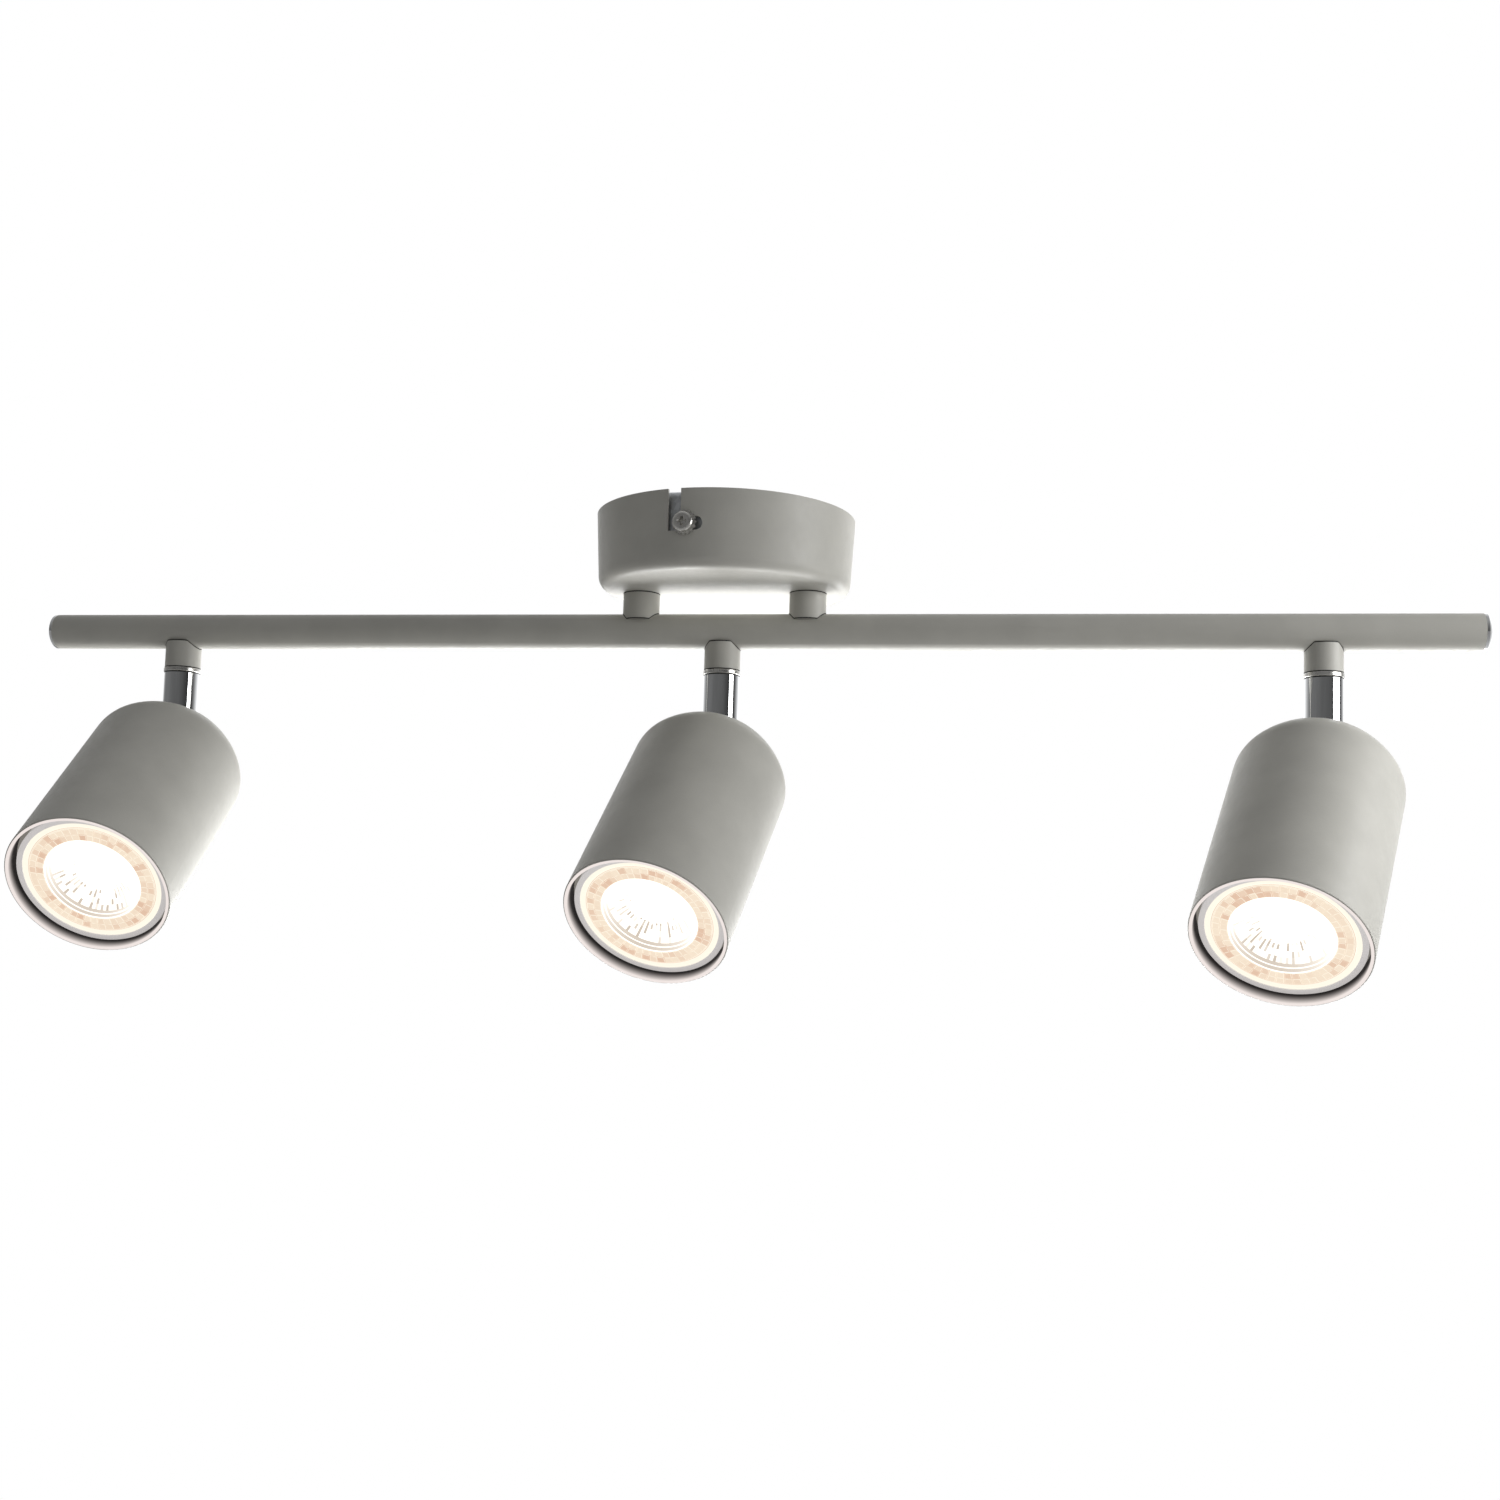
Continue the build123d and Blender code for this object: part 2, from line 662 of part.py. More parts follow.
def build_spot(number, x, pan, tilt):
    at_stem = Pos(x, 0, 0) * Rot(0, 0, pan)
    at_head = at_stem * Pos(0, 0, -pivot_drop) * Rot(-tilt, 0, 0)
    save(head_stub(x), f"head_stub_{number}")
    save(at_stem * stem(), f"stem_{number}")
    save(at_head * head_shell(), f"head_shell_{number}")
    save(at_head * hinge_bracket(), f"hinge_bracket_{number}")
    save(at_head * pivot_screw(), f"pivot_screw_{number}")
    save(at_head * pivot_nut(), f"pivot_nut_{number}")
    save_group([at_head * washer for washer in pivot_washers()], f"pivot_washers_{number}")
    save(at_head * lampholder(), f"lampholder_{number}")
    save_group([at_head * screw for screw in bracket_screws()], f"bracket_screws_{number}")
    save(at_head * lamp_body(), f"lamp_body_{number}")
    save(at_head * lamp_lens(), f"lamp_lens_{number}")
    save(at_head * lamp_led_board(), f"lamp_led_board_{number}")
    save_group([at_head * pin for pin in lamp_pins()], f"lamp_pins_{number}")


os.makedirs("parts", exist_ok=True)
build_root()
for index, (x, pan, tilt) in enumerate(zip(spot_places, pan_angles, tilt_angles)):
    build_spot(index + 1, x, pan, tilt)
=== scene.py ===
import json
from math import atan2, cos, hypot, pi, radians, sqrt
from random import Random

import bmesh
import bpy
from bpy.props import FloatProperty, FloatVectorProperty, IntProperty, PointerProperty
from mathutils import Matrix, Vector


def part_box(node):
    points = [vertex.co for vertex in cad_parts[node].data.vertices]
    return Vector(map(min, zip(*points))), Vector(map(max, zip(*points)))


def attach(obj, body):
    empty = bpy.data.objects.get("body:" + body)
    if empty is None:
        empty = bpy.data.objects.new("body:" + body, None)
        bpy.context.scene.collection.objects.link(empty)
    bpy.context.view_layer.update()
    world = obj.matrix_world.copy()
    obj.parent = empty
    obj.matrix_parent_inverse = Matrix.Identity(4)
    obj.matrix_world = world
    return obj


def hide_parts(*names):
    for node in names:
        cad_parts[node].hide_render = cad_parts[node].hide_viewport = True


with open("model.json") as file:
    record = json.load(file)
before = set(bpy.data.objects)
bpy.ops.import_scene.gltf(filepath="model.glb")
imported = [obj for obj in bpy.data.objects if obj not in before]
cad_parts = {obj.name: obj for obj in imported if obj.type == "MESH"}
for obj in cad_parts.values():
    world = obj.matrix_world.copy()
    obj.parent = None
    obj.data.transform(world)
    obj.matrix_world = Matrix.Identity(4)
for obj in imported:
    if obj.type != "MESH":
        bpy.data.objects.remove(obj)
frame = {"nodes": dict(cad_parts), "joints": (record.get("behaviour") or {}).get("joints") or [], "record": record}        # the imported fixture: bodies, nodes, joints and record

bl_info = {
    "name": "Three-light ceiling bar",
    "version": (1, 0, 0),
    "blender": (4, 5, 0),
    "location": "3D View > Sidebar > Ceiling bar",
    "description": "Finishes, lamp optics and studio for a ceiling bar with three swivelling spot heads",
    "category": "Object",
}

# Metres throughout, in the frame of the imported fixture: +X along the bar, +Z up.
MM = 0.001
SPOTS = (1, 2, 3)
NODES = frame["nodes"]
JOINTS = {joint["name"]: joint for joint in frame["joints"]}
SLOT_OF = {part["node"]: part["material_slot"] for part in frame["record"]["subparts"]}
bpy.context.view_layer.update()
FINISHES = {}                   # material of each slot, filled by the first step
SENSOR_WIDTH = 36               # of the studio camera, in millimetres
NEAR_LIMIT = 0.01               # closest thing that the studio camera sees
FLOOR_SIZE = 24
FLOOR_PAINT = 0.62              # how pale the studio floor is as light falls on it
LINE_SEGMENTS = 128             # round a saddle line or a mouth shading sheet
COLLAR_SEGMENTS = 96            # round a collar line


# ---------------------------------------------------------------- places from the frame
def head_placement(number):
    """Matrix from a head's own frame, pointing straight down, to where it is aimed."""
    tilt = JOINTS[f"tilt_{number}"]
    axis = tilt["axis"]
    pan_angle = atan2(-axis[1], -axis[0])
    tilt_angle = radians(-tilt["range_deg"][0])
    turn = Matrix.Rotation(pan_angle, 4, "Z") @ Matrix.Rotation(-tilt_angle, 4, "X")
    return Matrix.Translation(tilt["pos_m"]) @ turn


def lens_seat(number):
    """Where a lamp's lens sits: matrix with +Z out of the lamp at its front, radius and thickness."""
    placement = head_placement(number)
    back = placement.inverted()
    points = [back @ vertex.co for vertex in NODES[f"lamp_lens_{number}"].data.vertices]
    front = min(point.z for point in points)
    thickness = max(point.z for point in points) - front
    middle = (min(point.y for point in points) + max(point.y for point in points)) / 2
    radius = max(point.x for point in points)
    seat = placement @ Matrix.Translation((0, middle, front)) @ Matrix.Rotation(pi, 4, "X")
    return seat, radius, thickness


def upright_reach(node):
    """Centre x, radius across X, lowest and highest height of an upright round node."""
    low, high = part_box(node)
    return (low.x + high.x) / 2, (high.x - low.x) / 2, low.z, high.z


# ---------------------------------------------------------------- modelling helpers
def start_piece(name):
    """Takes the primitive just added, names it and opens it for editing by faces."""
    piece = bpy.context.object
    piece.name = name
    piece.data.name = name
    bpy.ops.object.mode_set(mode="EDIT")
    bpy.ops.mesh.select_mode(type="FACE")
    return piece


def pick(kind, test):
    """Selects only the faces or edges of the open mesh that pass a test."""
    bpy.ops.mesh.select_mode(type="FACE" if kind == "faces" else "EDGE")
    bpy.ops.mesh.select_all(action="DESELECT")
    mesh = bmesh.from_edit_mesh(bpy.context.object.data)
    for item in getattr(mesh, kind):
        if test(item):
            item.select_set(True)
    bmesh.update_edit_mesh(bpy.context.object.data)


def ring_radius(item):
    """Distance of a face's or an edge's middle from the Z axis of the open mesh."""
    points = [vertex.co for vertex in item.verts]
    middle = sum(points, Vector()) / len(points)
    return hypot(middle.x, middle.y)


def apply_place(piece, matrix):
    """Puts the piece in its place and moves that place into the mesh."""
    piece.matrix_world = matrix
    bpy.ops.object.select_all(action="DESELECT")
    piece.select_set(True)
    bpy.context.view_layer.objects.active = piece
    bpy.ops.object.transform_apply(location=True, rotation=True, scale=True)


def use_modifier(piece, kind, **settings):
    modifier = piece.modifiers.new(kind.title(), kind)
    for key, value in settings.items():
        setattr(modifier, key, value)
    bpy.context.view_layer.objects.active = piece
    bpy.ops.object.modifier_apply(modifier=modifier.name)


# ---------------------------------------------------------------- material helpers
class Recipe:
    """A material's node tree, built one node at a time."""

    def __init__(self, name):
        self.material = bpy.data.materials.new(f"{name}_finish")
        self.material.use_nodes = True
        self.tree = self.material.node_tree
        self.shader = self.tree.nodes["Principled BSDF"]
        self.place = self.node("ShaderNodeTexCoord").outputs["Object"]

    def node(self, kind, **settings):
        made = self.tree.nodes.new(kind)
        for key, value in settings.items():
            setattr(made, key, value)
        return made

    def link(self, source, target):
        self.tree.links.new(source, target)

    def set(self, **values):
        """Constants on the shader's own sockets, by name with _ for a space."""
        for key, value in values.items():
            self.shader.inputs[key.replace("_", " ")].default_value = value

    def noise(self, scale, detail=2.0, stretch=(1, 1, 1)):
        mapping = self.node("ShaderNodeMapping")
        mapping.inputs["Scale"].default_value = stretch
        texture = self.node("ShaderNodeTexNoise")
        texture.inputs["Scale"].default_value = scale
        texture.inputs["Detail"].default_value = detail
        self.link(self.place, mapping.inputs["Vector"])
        self.link(mapping.outputs["Vector"], texture.inputs["Vector"])
        return texture.outputs["Fac"]

    def cells(self, scale):
        texture = self.node("ShaderNodeTexVoronoi")
        texture.inputs["Scale"].default_value = scale
        self.link(self.place, texture.inputs["Vector"])
        return texture.outputs["Color"]

    def weave(self, scale, turn):
        mapping = self.node("ShaderNodeMapping")
        mapping.inputs["Rotation"].default_value = turn
        texture = self.node("ShaderNodeTexWave")
        texture.inputs["Scale"].default_value = scale
        self.link(self.place, mapping.inputs["Vector"])
        self.link(mapping.outputs["Vector"], texture.inputs["Vector"])
        return texture.outputs["Fac"]

    def tones(self, pattern, dark, light, low=0.35, high=0.65):
        """Colours the surface between two tones."""
        ramp = self.node("ShaderNodeValToRGB")
        ramp.color_ramp.elements[0].position = low
        ramp.color_ramp.elements[0].color = (*dark, 1)
        ramp.color_ramp.elements[1].position = high
        ramp.color_ramp.elements[1].color = (*light, 1)
        self.link(pattern, ramp.inputs["Fac"])
        self.link(ramp.outputs["Color"], self.shader.inputs["Base Color"])

    def gloss(self, pattern, low, high):
        """Spreads the roughness between two values."""
        spread = self.node("ShaderNodeMapRange")
        spread.inputs["From Min"].default_value = 0.3
        spread.inputs["From Max"].default_value = 0.7
        spread.inputs["To Min"].default_value = low
        spread.inputs["To Max"].default_value = high
        self.link(pattern, spread.inputs["Value"])
        self.link(spread.outputs["Result"], self.shader.inputs["Roughness"])

    def relief(self, pattern, strength, depth):
        bump = self.node("ShaderNodeBump")
        bump.inputs["Strength"].default_value = strength
        bump.inputs["Distance"].default_value = depth
        self.link(pattern, bump.inputs["Height"])
        self.link(bump.outputs["Normal"], self.shader.inputs["Normal"])


def tint(colour, factor):
    return tuple(min(1.0, channel * factor) for channel in colour)


# ---------------------------------------------------------------- finishes
def powder_coat(finish):
    recipe = Recipe("powder_coat")
    colour = finish.coat_colour
    recipe.tones(recipe.noise(70, 4), tint(colour, 0.955), tint(colour, 1.03))
    recipe.gloss(recipe.noise(500), 0.40, 0.56)
    recipe.relief(recipe.noise(1 / finish.coat_grain, 3), 0.32, 0.06 * MM)
    recipe.set(Specular_IOR_Level=0.45)
    return recipe.material


def plated(name, colour, low, high, streak=(1, 1, 1), scale=400):
    """Bright plated metal with faint polishing marks."""
    recipe = Recipe(name)
    marks = recipe.noise(scale, 3, streak)
    recipe.tones(marks, tint(colour, 0.93), tint(colour, 1.03))
    recipe.gloss(marks, low, high)
    recipe.set(Metallic=1.0)
    return recipe.material


def zinc_plate(finish):
    recipe = Recipe("zinc_plate")
    colour = finish.zinc_colour
    spangle = recipe.cells(420)
    recipe.tones(spangle, tint(colour, 0.82), tint(colour, 1.08), 0.2, 0.8)
    recipe.gloss(recipe.noise(900, 3), 0.28, 0.46)
    recipe.relief(recipe.noise(1500), 0.15, 0.03 * MM)
    recipe.set(Metallic=1.0)
    return recipe.material


def spring_steel():
    recipe = Recipe("spring_steel")
    recipe.tones(recipe.noise(600, 3), (0.10, 0.11, 0.13), (0.20, 0.20, 0.22))
    recipe.gloss(recipe.noise(1200), 0.25, 0.4)
    recipe.set(Metallic=1.0)
    return recipe.material


def natural_nylon():
    recipe = Recipe("natural_nylon")
    recipe.tones(recipe.noise(250, 3), (0.74, 0.73, 0.68), (0.82, 0.81, 0.77))
    recipe.gloss(recipe.noise(900), 0.38, 0.5)
    recipe.relief(recipe.noise(1800), 0.12, 0.03 * MM)
    recipe.set(Subsurface_Weight=0.1, Subsurface_Scale=2 * MM)
    return recipe.material


def silicone_sleeve():
    """Glass-braid sleeving with a fine crossed weave."""
    recipe = Recipe("silicone_sleeve")
    weave = recipe.node("ShaderNodeMath", operation="MULTIPLY")
    recipe.link(recipe.weave(900, (0, 0, radians(45))), weave.inputs[0])
    recipe.link(recipe.weave(900, (0, 0, radians(-45))), weave.inputs[1])
    recipe.tones(weave.outputs["Value"], (0.62, 0.60, 0.55), (0.80, 0.79, 0.75), 0.1, 0.9)
    recipe.gloss(recipe.noise(500), 0.5, 0.7)
    recipe.relief(weave.outputs["Value"], 0.4, 0.08 * MM)
    return recipe.material


def ceramic():
    recipe = Recipe("ceramic")
    recipe.tones(recipe.noise(160, 3), (0.80, 0.79, 0.75), (0.87, 0.86, 0.83))
    recipe.gloss(recipe.noise(400), 0.16, 0.34)
    recipe.relief(recipe.noise(700, 3), 0.2, 0.05 * MM)
    return recipe.material


def lamp_housing(finish):
    """Fine matt lacquer on the lamp's aluminium housing and bezel; its glow is painted light, standing for
    the lamp's light spilling onto the bezel.
    """
    recipe = Recipe("lamp_housing")
    colour = finish.bezel_colour
    recipe.tones(recipe.noise(300, 3), tint(colour, 0.96), tint(colour, 1.03))
    recipe.gloss(recipe.noise(900), 0.30, 0.42)
    recipe.relief(recipe.noise(2400), 0.12, 0.03 * MM)
    # painted light: the housing glows in place of the lamp's light falling on the bezel
    recipe.set(Emission_Color=(*finish.bezel_painted_glow, 1), Emission_Strength=1.0)
    return recipe.material


def led_board(finish):
    """White solder mask around the warm phosphor field."""
    recipe = Recipe("led_board")
    recipe.tones(recipe.noise(500, 3), (0.78, 0.74, 0.60), (0.90, 0.88, 0.80))
    recipe.gloss(recipe.noise(800), 0.3, 0.5)
    recipe.set(Emission_Color=(*finish.glow_colour, 1), Emission_Strength=1.0)
    return recipe.material


def lamp_cover(finish):
    """Clear moulded optic, lit from behind: its light is painted on its own faces."""
    recipe = Recipe("lamp_cover")
    light = recipe.node("ShaderNodeAttribute", attribute_name="lamp_light")
    recipe.link(light.outputs["Color"], recipe.shader.inputs["Emission Color"])
    recipe.tones(recipe.noise(900, 3), (0.05, 0.047, 0.042), (0.09, 0.085, 0.075))
    recipe.gloss(recipe.noise(700), 0.10, 0.22)
    recipe.relief(recipe.noise(1300), 0.15, 0.03 * MM)
    recipe.set(Emission_Strength=1.0, Specular_IOR_Level=0.3)
    return recipe.material


def head_mouth(finish):
    """Coat inside a head's mouth, darkened to near black as painted shade; the lamp's light on it is
    painted on its own faces.
    """
    recipe = Recipe("head_mouth")
    light = recipe.node("ShaderNodeAttribute", attribute_name="mouth_light")
    recipe.link(light.outputs["Color"], recipe.shader.inputs["Emission Color"])
    # the mouth colour is near black: painted shade deep inside the head
    recipe.tones(recipe.noise(300, 3), tint(finish.mouth_shade_colour, 0.9), tint(finish.mouth_shade_colour, 1.1))
    recipe.gloss(recipe.noise(700), 0.5, 0.65)
    recipe.set(Emission_Strength=1.0, Specular_IOR_Level=0.2)
    return recipe.material


def joint_line():
    """Painted shade: near black band that stands for the shadow in the gap where two coated parts meet."""
    recipe = Recipe("joint_line")
    recipe.tones(recipe.noise(1500, 3), (0.008, 0.008, 0.008), (0.03, 0.029, 0.026))
    recipe.gloss(recipe.noise(900), 0.6, 0.8)
    return recipe.material


def all_finishes(finish):
    """Every material slot of the fixture, by its name."""
    return {
        "powder_coat": powder_coat(finish),
        "chrome": plated("chrome", finish.chrome_colour, 0.045, 0.11, (1, 1, 0.08), 700),
        "satin_nickel": plated("satin_nickel", finish.nickel_colour, 0.2, 0.34),
        "zinc_plate": zinc_plate(finish),
        "spring_steel": spring_steel(),
        "brass": plated("brass", finish.brass_colour, 0.22, 0.36),
        "natural_nylon": natural_nylon(),
        "silicone_sleeve": silicone_sleeve(),
        "ceramic": ceramic(),
        "lamp_housing": lamp_housing(finish),
        "lamp_cover": lamp_cover(finish),
        "led_board": led_board(finish),
        "pin_metal": plated("pin_metal", finish.nickel_colour, 0.16, 0.3, scale=900),
        "joint_line": joint_line(),
        "head_mouth": head_mouth(finish),
    }


# ---------------------------------------------------------------- lamp optics
SEGMENTS = 96                   # round the lens; a prism spans two of them

# The front of the optic from its edge inwards: radius as a share of the lens
# radius, and height in millimetres above the lens front.
COVER_RINGS = ((0.985, 0.0), (0.955, 0.12), (0.930, 0.02), (0.922, -0.12), (0.912, -0.12),
               (0.904, 0.0))
PRISM_ROWS = ((0.802, 0.0), (0.700, 0.0))
STEP_RINGS = ((0.688, 0.06), (0.678, -0.04), (0.668, -1.3), (0.652, -1.4), (0.642, -2.7))
DISH_ROWS = ((0.580, -4.1), (0.520, -5.3), (0.460, -6.3), (0.400, -7.1), (0.345, -7.7))
CORE_RINGS = ((0.325, -7.8), (0.315, -4.2), (0.295, -3.9), (0.16, -3.5), (0.03, -3.4))
OPTIC_DEPTH = 10.0              # front to back of the optic, in millimetres
OPTIC_EDGE = 0.95               # shares of the lens radius behind the cover, at its start
OPTIC_BACK = 0.66               # and at the optic's back
PRISM_GAP = 0.17 * MM           # half the groove between two prisms
PRISM_BEVEL = 0.10 * MM
PRISM_RISE = 0.16 * MM
BAR_GAP = 0.14 * MM
BAR_RISE = 0.12 * MM
LINE_RING = (0.911, 0.923)      # fine tan line between the cover and the prisms
LINE_TONE = 0.75                # share of amber in that line
FLAT = 0.98                     # a face is flat when its normal's height is over this
WALL = 0.5                      # and a wall when it is under this
SIDE_CREAM = (0.2, 0.75)        # cream in a prism's sides, few faint and most strong
SIDE_CHANCE = 0.3               # share of the sides that are faint
STEP_TONE = 0.15                # tan in the step everywhere; its walls reach full tan
SHADE_START = 0.3               # shading at which the dish's bars begin to show
SHADE_SPAN = 0.5                # and over how much more they come to full tone
BARS_HIDDEN = 0.4               # share of the bars that don't show
BAR_FAINT = 0.1                 # tan in the dish between the bars that show


def sink_rings(radius, rings, share, height):
    """Insets the picked cap through a row of rings, each at its own height."""
    for next_share, next_height in rings:
        bpy.ops.mesh.inset(thickness=radius * (share - next_share),
                           depth=MM * (next_height - height))
        share, height = next_share, next_height
    return share, height


def between(radius, outer, inner):
    """Test for what lies in a ring of the lens, between two shares of its radius."""
    margin = 0.002
    return lambda item: (inner + margin) * radius < ring_radius(item) < (outer - margin) * radius


def facing_front(face):
    return face.normal.z > 0.3


def spoke_of(edge):
    """Number of the spoke of the circle that an edge lies on."""
    middle = (edge.verts[0].co + edge.verts[1].co) / 2
    return round(atan2(middle.y, middle.x) / (2 * pi) * SEGMENTS)


def sector_of(point):
    """Number of the sector of the circle, between two spokes, that a point lies in."""
    return round(atan2(point.y, point.x) / (2 * pi) * SEGMENTS - 0.5)


def join_pairs(radius, outer, inner):
    """Joins the faces of a ring two by two."""
    def test(edge):
        across = edge.verts[0].co - edge.verts[1].co
        middle = (edge.verts[0].co + edge.verts[1].co) / 2
        radial = abs(across.cross(middle).z) < 0.1 * across.length * middle.length
        return (radial and between(radius, outer, inner)(edge) and middle.z > -OPTIC_DEPTH * MM / 2
                and spoke_of(edge) % 2 == 1)
    pick("edges", test)
    bpy.ops.mesh.dissolve_edges(use_verts=False)


def raise_prisms(radius):
    """Two rows of keystone prisms that stand proud of the cover."""
    outer = COVER_RINGS[-1][0]
    for row, _ in PRISM_ROWS:
        join_pairs(radius, outer, row)
        test = between(radius, outer, row)
        pick("faces", lambda face: facing_front(face) and test(face) and len(face.verts) >= 4)
        bpy.ops.mesh.inset(thickness=PRISM_GAP, depth=0.0, use_individual=True)
        bpy.ops.mesh.inset(thickness=PRISM_BEVEL, depth=PRISM_RISE, use_individual=True)
        outer = row


def raise_bars(radius):
    """Every other facet of the dish is a small raised bar."""
    outer = STEP_RINGS[-1][0]
    for row, _ in DISH_ROWS:
        test = between(radius, outer, row)
        pick("faces", lambda face: (facing_front(face) and test(face)
                                    and sector_of(face.calc_center_median()) % 2 == 0))
        bpy.ops.mesh.inset(thickness=BAR_GAP, depth=BAR_RISE, use_individual=True)
        outer = row


def lamp_optic(name, radius, thickness):
    """One moulded optic, front up on z = 0: cover ring, prism band, stepped dish and core."""
    bpy.ops.mesh.primitive_cylinder_add(vertices=SEGMENTS, radius=radius, depth=thickness,
                                        location=(0, 0, -thickness / 2))
    piece = start_piece(name)
    apply_in_edit(piece)
    pick("faces", lambda face: face.normal.z < -0.9)
    bpy.ops.mesh.inset(thickness=(1 - OPTIC_EDGE) * radius)
    bpy.ops.mesh.extrude_region_move(
        TRANSFORM_OT_translate={"value": (0, 0, thickness - OPTIC_DEPTH * MM)})
    taper = OPTIC_BACK / OPTIC_EDGE
    bpy.ops.transform.resize(value=(taper, taper, 1), center_override=(0, 0, -OPTIC_DEPTH * MM))
    pick("faces", lambda face: face.normal.z > 0.9)
    share, height = sink_rings(radius, COVER_RINGS, 1.0, 0.0)
    share, height = sink_rings(radius, PRISM_ROWS, share, height)
    share, height = sink_rings(radius, STEP_RINGS, share, height)
    share, height = sink_rings(radius, DISH_ROWS, share, height)
    sink_rings(radius, CORE_RINGS, share, height)
    raise_prisms(radius)
    raise_bars(radius)
    bpy.ops.object.mode_set(mode="OBJECT")
    return piece


def apply_in_edit(piece):
    """Moves the primitive's place into its mesh, so that its axis is the mesh's Z axis."""
    bpy.ops.object.mode_set(mode="OBJECT")
    apply_place(piece, piece.matrix_world.copy())
    bpy.ops.object.mode_set(mode="EDIT")


def mix(first, second, share):
    share = max(0.0, min(1.0, share))
    return tuple(a + (b - a) * share for a, b in zip(first, second))


class LampPainter:
    """Works out the light that each face of one lamp's optic sends out."""

    def __init__(self, radius, optics, seed):
        self.radius = radius
        self.hot_angle = optics.hot_angle
        self.white, self.cream, self.peach, self.amber, self.tan = (
            tuple(colour) for colour in (optics.core_light, optics.cover_light, optics.prism_light,
                                         optics.prism_shade, optics.bar_light))
        self.chance = Random(seed)
        self.prism_tones = {}
        self.bar_tones = {}

    def cover(self, share):
        on_line = LINE_RING[0] < share < LINE_RING[1]
        return mix(self.cream, self.amber, LINE_TONE) if on_line else self.cream

    def prism(self, face, share, angle):
        """Each prism has its own tone; its sloping sides catch the cover's light."""
        prism = (share > PRISM_ROWS[0][0], int((angle / (2 * pi) + 0.5) * SEGMENTS / 2))
        if prism not in self.prism_tones:
            self.prism_tones[prism] = self.chance.random()
        colour = mix(self.peach, self.amber, 1.2 * self.prism_tones[prism] ** 3)
        if abs(face.normal.z) < FLAT:
            colour = mix(colour, self.cream, SIDE_CREAM[self.chance.random() > SIDE_CHANCE])
        return colour

    def step(self, face, shaded):
        on_wall = abs(face.normal.z) < WALL
        return mix(self.white, self.tan, STEP_TONE + (1 - STEP_TONE) * shaded * on_wall)

    def dish(self, face, share, shaded):
        """Some of the dish's bars show on the shaded side."""
        bar = (sum(share < ring for ring, _ in DISH_ROWS), sector_of(face.center))
        if bar not in self.bar_tones:
            self.bar_tones[bar] = self.chance.random() if bar[1] % 2 == 0 else 0.0
        tone = self.bar_tones[bar] if self.bar_tones[bar] > BARS_HIDDEN else BAR_FAINT
        return mix(self.white, self.tan, tone * (shaded - SHADE_START) / SHADE_SPAN)

    def light(self, face):
        share = hypot(face.center.x, face.center.y) / self.radius
        angle = atan2(face.center.y, face.center.x)
        shaded = 0.5 - 0.5 * cos(angle - self.hot_angle)
        if share > COVER_RINGS[-1][0]:
            return self.cover(share)
        if share > PRISM_ROWS[-1][0]:
            return self.prism(face, share, angle)
        if share > STEP_RINGS[-1][0]:
            return self.step(face, shaded)
        if share > DISH_ROWS[-1][0] and face.center.z > -0.9 * OPTIC_DEPTH * MM:
            return self.dish(face, share, shaded)
        return self.white


def paint_light(piece, radius, optics, seed):
    """Stores the light of each face on its corners, brightest towards the upper right."""
    painter = LampPainter(radius, optics, seed)
    attribute = piece.data.color_attributes.new("lamp_light", "FLOAT_COLOR", "CORNER")
    for face in piece.data.polygons:
        colour = painter.light(face)
        for corner in face.loop_indices:
            attribute.data[corner].color = (*colour, 1.0)


# ---------------------------------------------------------------- mouth shading sheets: painted shade and lamp light inside the heads
def head_bore(number):
    """Inside radius and rim height of a head, in the head's own frame."""
    back = head_placement(number).inverted()
    points = [back @ vertex.co for vertex in NODES[f"head_shell_{number}"].data.vertices]
    rim = min(point.z for point in points)
    bore = min(hypot(point.x, point.y) for point in points if point.z < rim + 0.1 * MM)
    return bore, rim


def mouth_shading_sheet(name, bore, rim, sheet):
    """Thin sheet inside a head's mouth that carries painted shade, with a lip on the head's edge that
    carries painted lamp light.
    """
    start = rim - sheet.edge_gap
    radius = bore - sheet.gap
    bpy.ops.mesh.primitive_circle_add(vertices=LINE_SEGMENTS, radius=bore + sheet.lip,
                                      location=(0, 0, start))
    piece = start_piece(name)
    apply_in_edit(piece)
    bpy.ops.mesh.select_mode(type="EDGE")
    bpy.ops.mesh.select_all(action="SELECT")
    bpy.ops.mesh.extrude_region_move(TRANSFORM_OT_translate={"value": (0, 0, 0)})
    share = radius / (bore + sheet.lip)
    bpy.ops.transform.resize(value=(share, share, 1), center_override=(0, 0, start))
    for _ in range(sheet.steps):
        bpy.ops.mesh.extrude_region_move(
            TRANSFORM_OT_translate={"value": (0, 0, sheet.depth / sheet.steps)})
    bpy.ops.mesh.select_all(action="SELECT")
    bpy.ops.mesh.normals_make_consistent(inside=False)
    bpy.ops.object.mode_set(mode="OBJECT")
    use_modifier(piece, "SOLIDIFY", thickness=sheet.wall, offset=-1.0)
    bpy.ops.object.shade_smooth_by_angle(angle=radians(40))
    paint_mouth(piece, rim, sheet)
    return piece


def paint_mouth(piece, rim, sheet):
    """Stores the lamp light on each corner, full at the edge and gone at the bezel."""
    attribute = piece.data.color_attributes.new("mouth_light", "FLOAT_COLOR", "CORNER")
    for loop in piece.data.loops:
        depth = piece.data.vertices[loop.vertex_index].co.z - rim
        share = max(0.0, 1 - max(0.0, depth) / sheet.reach) ** sheet.falloff
        attribute.data[loop.index].color = (*(share * channel for channel in sheet.light), 1.0)
